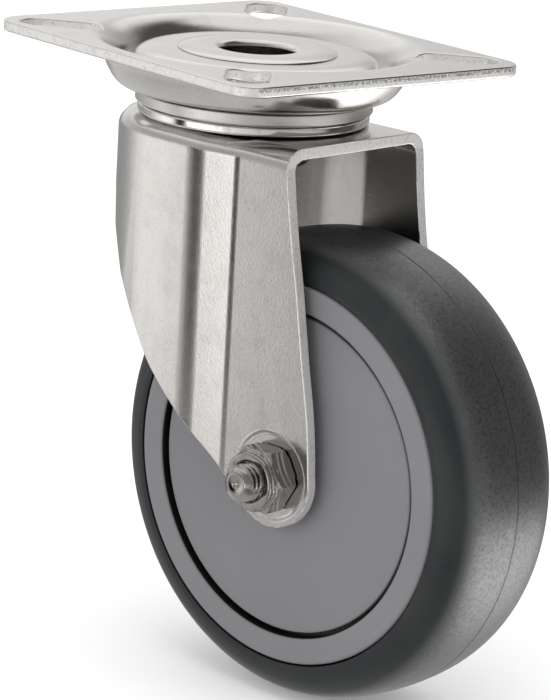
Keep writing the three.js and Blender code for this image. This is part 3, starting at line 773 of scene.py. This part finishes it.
# The boss is pressed inwards: a pad inside the leg, and a recess outside it.
PAD_TOP, RECESS_TOP = LEG_HALF - SHEET + 0.3, LEG_HALF + 1.5
PAD = [(0, BOSS_FLOOR - SHEET, 0), (9.4, BOSS_FLOOR - SHEET, 0.6), (10.2, PAD_TOP, 0),
       (0, PAD_TOP, 0)]
RECESS = [(0, BOSS_FLOOR, 0), (BOSS - 0.4, BOSS_FLOOR, 0.5), (BOSS + 0.2, LEG_HALF + 0.1, 0.0),
          (BOSS + 1.2, RECESS_TOP, 0), (0, RECESS_TOP, 0)]
fork = combined(fork_block("pressed_fork", 0, CROWN_TOP, SHOULDER), [
    ("DIFFERENCE", fork_block("inside", SHEET, CROWN_TOP - SHEET, SHOULDER - SHEET + 0.6)),
    ("INTERSECT", side_prism()),
    ("UNION", on_axle_tool("pad", PAD)),
    ("UNION", on_axle_tool("pad", PAD, True)),
    ("DIFFERENCE", on_axle_tool("recess", RECESS)),
    ("DIFFERENCE", on_axle_tool("recess", RECESS, True)),
    ("DIFFERENCE", on_axle_tool("bolt_hole", ring(0, BOLT_HOLE, -40, 40))),
    ("DIFFERENCE", as_object("crown_hole", turned(ring(0, CROWN_HOLE, -22, -12), TOOL_STEPS))),
])
eased(fork, 0.28)
painted(fork, "cut", lambda f: f.material_index == 1 or rim_of_boss(f))
painted(fork, "inner", on_inside)
fork.data.polygons.foreach_set("material_index", [0] * len(fork.data.polygons))
fork.data.transform(FORK_TURN)
finished(fork, STEEL, "swivel_fork", "pressed_steel", "fork")

# %% [markdown]
# ## Axle bolt and lock nut
# An M8 bolt passes through from the far side. Its threaded end and a nylon
# lock nut show on the near side. A hexagon met by a cone gives the curved
# chamfer of real bolt heads; the thread is a true helix pressed into a shank.

# %% Hexagon stock
ACROSS_FLATS = 13
HEX_CORNER = ACROSS_FLATS / math.sqrt(3)


def hexagon(name, low, high):
    bm = bmesh.new()
    bmesh.ops.create_cone(bm, cap_ends=True, segments=6, radius1=HEX_CORNER * MM,
                          radius2=HEX_CORNER * MM, depth=(high - low) * MM)
    bmesh.ops.rotate(bm, verts=bm.verts[:], matrix=Matrix.Rotation(math.radians(30), 3, "Z"))
    bmesh.ops.translate(bm, verts=bm.verts[:], vec=(0, 0, (low + high) / 2 * MM))
    return as_object(name, bm)


def chamfer_tool(low, high, low_cut, high_cut):
    """A cylinder with both ends coned off, to be met with a hexagon."""
    slope, clear = 0.55, HEX_CORNER + 0.05
    outline = [(0, low, 0), (HEX_CORNER - low_cut, low, 0), (clear, low + low_cut * slope, 0),
               (clear, high - high_cut * slope, 0), (HEX_CORNER - high_cut, high, 0), (0, high, 0)]
    return as_object("chamfer", turned(outline, TOOL_STEPS))


def laid_on_axle(piece):
    piece.data.transform(ON_AXLE)
    return piece


print("hexagon across corners:", round(2 * HEX_CORNER, 2), "mm")

# %% Lock nut
# Heights along the axle are from its middle and grow towards the near side.
# The collar's steps, which hold the nylon ring, are heights above the nut's base.
NUT_BASE, NUT_BORE, BORE_STEPS = BOSS_FLOOR + 0.3, 4.15, 64
HEX_TOP = NUT_BASE + 5.2
STEPS = [(4.0, 4, 0), (6.5, 4, 0), (6.55, 4.4, 0), (6.55, 5.3, 0.12), (6.1, 5.45, 0.08),
         (6.1, 5.7, 0.08), (6.5, 5.8, 0.1), (6.5, 6.05, 0.1), (6.1, 6.15, 0.06),
         (6.1, 6.3, 0.06), (6.25, 6.4, 0.06), (6.25, 7.1, 0.6), (4.6, 7.1, 0.2),
         (4.2, 6.8, 0.1), (4.0, 6.8, 0)]
COLLAR = [(r, NUT_BASE + h, ease) for r, h, ease in STEPS]
POCKET = ring(4.0, 5.6, NUT_BASE + 5.05, NUT_BASE + 6.8)
nut = combined(hexagon("lock_nut_steel", NUT_BASE, HEX_TOP), [
    ("INTERSECT", chamfer_tool(NUT_BASE, HEX_TOP, 0.7, 1.3)),
    ("UNION", as_object("collar", turned(COLLAR, TOOL_STEPS))),
    ("DIFFERENCE", as_object("bore", turned(ring(0, NUT_BORE, 10, 40), BORE_STEPS))),
    ("DIFFERENCE", as_object("pocket", turned(POCKET, BORE_STEPS))),
])
eased(nut, 0.16, 40)
finished(laid_on_axle(nut), NUT_STEEL, "swivel_fork", "bright_steel", "lock_nut")

# %% Bolt with its thread
PITCH, THREAD_DEPTH, BOLT_RADIUS, STUD_END = 1.25, 1.0, 3.95, 30.6
SHANK_FOOT, END_FACE = -BOSS_FLOOR - 1.2, 2.6
THREAD_TOP, THREAD_LENGTH, THREAD_ROWS, THREAD_STEPS = STUD_END - 0.9, 14, 112, 72
THREAD_FOOT, THREAD_RUN_IN, THREAD_RUN_OUT = THREAD_TOP - 13.5, 0.8, 0.4


def up_to_one(value):
    return min(1, max(0, value))


def threaded_bolt():
    """A shank with rows close enough to press the helix of the thread into it."""
    outline = [(0, STUD_END - 1.0, 0), (0.95, STUD_END - 0.1, 0.15), (2.5, STUD_END, 0.15),
               (3.2, STUD_END - 0.5, 0), (BOLT_RADIUS, THREAD_TOP, 0.0)]
    outline += [(BOLT_RADIUS, THREAD_TOP - THREAD_LENGTH * (k + 1) / THREAD_ROWS, 0)
                for k in range(THREAD_ROWS)]
    outline += [(BOLT_RADIUS, SHANK_FOOT, 0), (0, SHANK_FOOT, 0)]
    bm = turned(outline, THREAD_STEPS)
    for vertex in bm.verts:
        h, radius = vertex.co.z / MM, vertex.co.xy.length / MM
        if radius > END_FACE:
            run_in = up_to_one((h - THREAD_FOOT) / THREAD_RUN_IN)
            run_out = up_to_one((STUD_END - 0.7 - h) / THREAD_RUN_OUT)
            turn = (h / PITCH + math.atan2(vertex.co.y, vertex.co.x) / (2 * math.pi)) % 1
            ridge = abs(2 * turn - 1)
            cut = THREAD_DEPTH * up_to_one(1.25 * ridge - 0.12) * (run_in * run_out)
            scale = (radius - cut * min(1, radius / BOLT_RADIUS)) / radius
            vertex.co.x *= scale
            vertex.co.y *= scale
    bmesh.ops.recalc_face_normals(bm, faces=bm.faces[:])
    return as_object("axle_bolt_steel", bm)


HEAD_LOW, HEAD_HIGH = -(NUT_BASE + 5.3), -NUT_BASE
bolt_head = combined(hexagon("bolt_head", HEAD_LOW, HEAD_HIGH), [
    ("INTERSECT", chamfer_tool(HEAD_LOW, HEAD_HIGH, 1.3, 0.5))])
eased(bolt_head, 0.2, 40)
bolt = combined(threaded_bolt(), [("UNION", bolt_head)])
finished(laid_on_axle(bolt), NUT_STEEL, "swivel_fork", "bright_steel", "axle_bolt")

# %% [markdown]
# ## Wheel
# Tyre, plastic centre and the two snap-in cover discs are turned about the
# axle. The tyre's outline is a smooth curve with the fine parting line its
# mould leaves round the middle.


# %% Turn the wheel
WHEEL_STEPS = 200


def mirrored(half):
    """An outline and its mirror image across the wheel's middle plane."""
    return half + [(r, -h, ease) for r, h, ease in reversed(half)]


TYRE_LINE = flowing([(42.2, 16.25), (43.6, 15.85), (45.4, 15), (47.3, 13.3), (48.6, 11.1),
                     (49.4, 8.2), (49.8, 5), (49.97, 2), (50, 0.25)], 4)
TYRE_FOOT, PARTING_GROOVE = [(38.7, 11.2, 0), (41.1, 12.6, 0), (41.1, 16.25, 0.25)], (49.93, 0.06, 0)
TYRE = mirrored([*TYRE_FOOT, *[(r, h, 0) for r, h in TYRE_LINE], PARTING_GROOVE])
RIM = mirrored([(12.6, 4.9, 0), (14.3, 4.9, 0), (14.3, 13.2, 0.3), (18.0, 13.2, 0.5),
                (18.6, 2.6, 1.5), (33, 2.6, 1.5), (33, 13.5, 0), (35.1, 13.5, 0.1),
                (35.1, 16.5, 0.7), (40.75, 16.5, 0.9), (40.8, 12.8, 0), (38.4, 11.4, 0)])
COVER = [(8.4, 13.8, 0.1), (8.4, 15.4, 0.3), (34.1, 15.4, 0.4), (34.1, 13.8, 0.1)]
tyre = as_object("rubber_tyre", turned(TYRE, WHEEL_STEPS, ON_AXLE))
finished(tyre, TYRE_RUBBER, "road_wheel", "tyre", "tyre")
rim = as_object("wheel_rim", turned(RIM, WHEEL_STEPS, ON_AXLE))
finished(rim, RIM_PLASTIC, "road_wheel", "wheel_plastic", "wheel_centre")
for side, flip in (("near", 1), ("far", -1)):
    outline = [(r, flip * h, ease) for r, h, ease in COVER]
    disc = as_object(f"cover_disc_{side}", turned(outline, WHEEL_STEPS, ON_AXLE))
    finished(disc, COVER_PLASTIC, "road_wheel", "cover_plastic", f"cover_{side}")

# %% [markdown]
# ## Inner pieces
# Bearings, sleeve, spacer and shields are right as the CAD has them, so they
# keep their meshes and only get their finish.


# %% Paint the inner pieces
def inner_finish(name):
    if name == "lock_nut_insert":
        return NYLON
    if "bearing" in name or "ball" in name:
        return BALL_STEEL
    return INNER_STEEL


for name, node in frame["nodes"].items():
    if node.hide_render:
        continue
    node.data.materials.clear()
    node.data.materials.append(inner_finish(name))
    print("painted", name)

# %% [markdown]
# ## Studio
# A white floor, two soft lamps and a wall of soft light all round. The wall is
# brighter and darker in bands, as scrims and flags make it, since what polished
# steel shows is mostly what stands around it. Only reflections see the wall, and
# they don't see the floor, so the two can be set apart.


# %% Floor
FLOOR_HALF, FLOOR_GLOW = 2.7, 0.14


def pale_floor():
    """A faintly glowing floor, so that it meets the white surround unseen."""
    bm = bmesh.new()
    bmesh.ops.create_grid(bm, x_segments=1, y_segments=1, size=FLOOR_HALF)
    bmesh.ops.translate(bm, verts=bm.verts[:], vec=(0, 0, FLOOR_Z))
    floor = as_object("floor", bm)
    made = Finish("floor_paint", Roughness=0.9, Specular_IOR_Level=0.0,
                  Emission_Color=(1, 1, 1, 1), Emission_Strength=FLOOR_GLOW)
    paint = made.colour((0.9, 0.9, 0.9)).mix((0.88, 0.88, 0.88, 1), made.at.noise(3, 2))
    made.feed(Base_Color=paint)
    floor.data.materials.append(made.material)
    floor.visible_glossy = False


pale_floor()
print("floor at", round(FLOOR_Z / MM, 1), "mm")

# %% Bands of the light wall
# Brightness by bearing, in degrees from -Y towards +X, band by band from the
# floor up. The camera looks down a little, so upright faces mirror the low band
# and flat tops the band at eye level. Faces that lean further down mirror the
# floor band, and faces that lean back from the camera the high one.
FLOOR_BAND = [(-180, 1.5), (-165, 0.75), (-150, 0.6), (-90, 0.75), (-40, 0.62), (15, 0.6),
              (38, 0.3), (65, 0.35), (88, 0.9), (102, 2.6), (135, 3.3), (165, 3.2), (180, 1.5)]
LOW_BAND = [(-180, 0.3), (-140, 0.35), (-95, 0.4), (-72, 0.5), (-58, 1.0), (-45, 1.35),
            (-38, 1.25), (-34, 0.86), (-31.5, 0.3), (-29, 0.0), (-20.5, 0.0), (-18.6, 0.7),
            (-16.4, 2.0), (12, 1.7), (32, 0.9), (52, 0.7), (80, 0.6), (112, 0.55), (124, 0.4),
            (132, 0.06), (165, 0.08), (180, 0.3)]
EYE_BAND = [(-180, 0.4), (-155, 0.6), (-138, 0.68), (-128, 0.92), (-110, 1.0), (-85, 0.75),
            (-40, 0.55), (20, 0.45), (60, 0.35), (115, 0.2), (165, 0.12), (180, 0.5)]
HIGH_BAND = [(-180, 0.3), (-172, 0.6), (-158, 1.1), (-131, 1.35), (-80, 1.15), (-25, 0.9),
             (20, 0.4), (90, 0.25), (130, 0.1), (168, 0.1), (180, 0.3)]
BANDS = (FLOOR_BAND, LOW_BAND, EYE_BAND, HIGH_BAND)
# Even brightness straight below and overhead.
NADIR, CEILING = 0.72, 1.2
# Heights, over the wall's radius, between which one blends into the next.
BLENDS = ((-0.9, -0.62), (-0.38, -0.28), (-0.1, 0.08), (0.3, 0.5), (0.8, 0.93))
WALL_RADIUS = 4
# A colour ramp holds at most 1, so it stores brightness as a part of this.
BAND_FULL = 4
print("light bands:", len(BANDS))


# %% Light wall
def light_wall():
    bm = bmesh.new()
    bmesh.ops.create_uvsphere(bm, u_segments=48, v_segments=24, radius=WALL_RADIUS)
    bmesh.ops.reverse_faces(bm, faces=bm.faces[:])
    wall = as_object("light_wall", bm)
    made = bpy.data.materials.new("light_wall")
    made.use_nodes = True
    tree = made.node_tree
    tree.nodes.clear()
    at = Wire(tree, tree.nodes.new("ShaderNodeTexCoord").outputs["Object"])
    x, y, z = (at.axis(letter) for letter in "XYZ")
    bearing = x.sum("ARCTAN2", x, -1 * y) / math.pi * 0.5 + 0.5
    glows = []
    for band in BANDS:
        stops = [((degrees + 180) / 360, (*[glow / BAND_FULL] * 3, 1)) for degrees, glow in band]
        ramp = bearing.node("ShaderNodeValToRGB", {"stops": stops}, {0: bearing})
        glows.append(ramp * BAND_FULL)
    rise = z / WALL_RADIUS
    glow = glows[0].blended(NADIR, 1 - rise.step(*BLENDS[0]))
    for above, blend in zip([*glows[1:], CEILING], BLENDS[1:]):
        glow = glow.blended(above, rise.step(*blend))
    emission = at.node("ShaderNodeEmission", None, {"Color": (1, 0.995, 0.985, 1), "Strength": glow})
    out = tree.nodes.new("ShaderNodeOutputMaterial")
    tree.links.new(emission.socket, out.inputs["Surface"])
    made.cycles.emission_sampling = "NONE"
    wall.data.materials.append(made)
    wall.visible_camera = False
    wall.visible_shadow = False
    wall.visible_diffuse = False


light_wall()
print("wall", WALL_RADIUS, "m out")


# %% Lamps and surround
AIM = Vector((0.015, 0, -0.07))


def soft_lamp(name, place, size, power):
    """A round lamp aimed at the castor: place and size in metres, power in watts."""
    lamp = bpy.data.lights.new(name, "AREA")
    lamp.shape, lamp.size, lamp.energy = "DISK", size, power
    holder = bpy.data.objects.new(name, lamp)
    bpy.context.scene.collection.objects.link(holder)
    holder.location = place
    holder.rotation_mode = "QUATERNION"
    holder.rotation_quaternion = (Vector(place) - AIM).to_track_quat("Z", "Y")
    holder.visible_glossy = False


soft_lamp("overhead", (0.2, -0.3, 1.6), 1.2, 7)
soft_lamp("front_fill", (0.3, -1.6, 0.5), 0.9, 4)
world = bpy.data.worlds.new("surround")
world.use_nodes = True
background = world.node_tree.nodes["Background"]
background.inputs["Color"].default_value = (1, 1, 1, 1)
background.inputs["Strength"].default_value = 1.0
bpy.context.scene.world = world

# %% [markdown]
# ## Camera
# A long lens, a little above the wheel and tipped slightly, aimed at the
# middle of the castor.

# %% Camera
# Round from the near side of the wheel, up from level, and tipped clockwise.
CAMERA_BEARING = math.radians(41.782403) + TURN
CAMERA_RISE = math.radians(14.436752)
CAMERA_TIP = math.radians(3.836690)
# In millimetres, from a point on the swivel axis.
CAMERA_DISTANCE, CAMERA_SIDE, CAMERA_UP, CAMERA_AIM_Z = 779.0984, 7.57667, -7.34206, -60
FOCAL_LENGTH, SENSOR_WIDTH = 186.1573, 36
back = Vector((math.sin(CAMERA_BEARING) * math.cos(CAMERA_RISE),
               -math.cos(CAMERA_BEARING) * math.cos(CAMERA_RISE), math.sin(CAMERA_RISE)))
level = Vector((math.cos(CAMERA_BEARING), math.sin(CAMERA_BEARING), 0))
upright = back.cross(level)
right = math.cos(CAMERA_TIP) * level + math.sin(CAMERA_TIP) * upright
up = math.cos(CAMERA_TIP) * upright - math.sin(CAMERA_TIP) * level
lens = bpy.data.cameras.new("camera")
lens.lens, lens.sensor_width = FOCAL_LENGTH, SENSOR_WIDTH
lens.clip_start, lens.clip_end = 0.05, 100
camera = bpy.data.objects.new("camera", lens)
bpy.context.scene.collection.objects.link(camera)
camera.matrix_world = Matrix((
    (right.x, up.x, back.x, 0), (right.y, up.y, back.y, 0), (right.z, up.z, back.z, 0),
    (0, 0, 0, 1)))
aim = Vector((0, 0, CAMERA_AIM_Z))
camera.location = MM * (aim + CAMERA_SIDE * right + CAMERA_UP * up + CAMERA_DISTANCE * back)
bpy.context.scene.camera = camera
bpy.context.scene.view_settings.view_transform = "Standard"
print("camera", [round(c, 3) for c in camera.location])
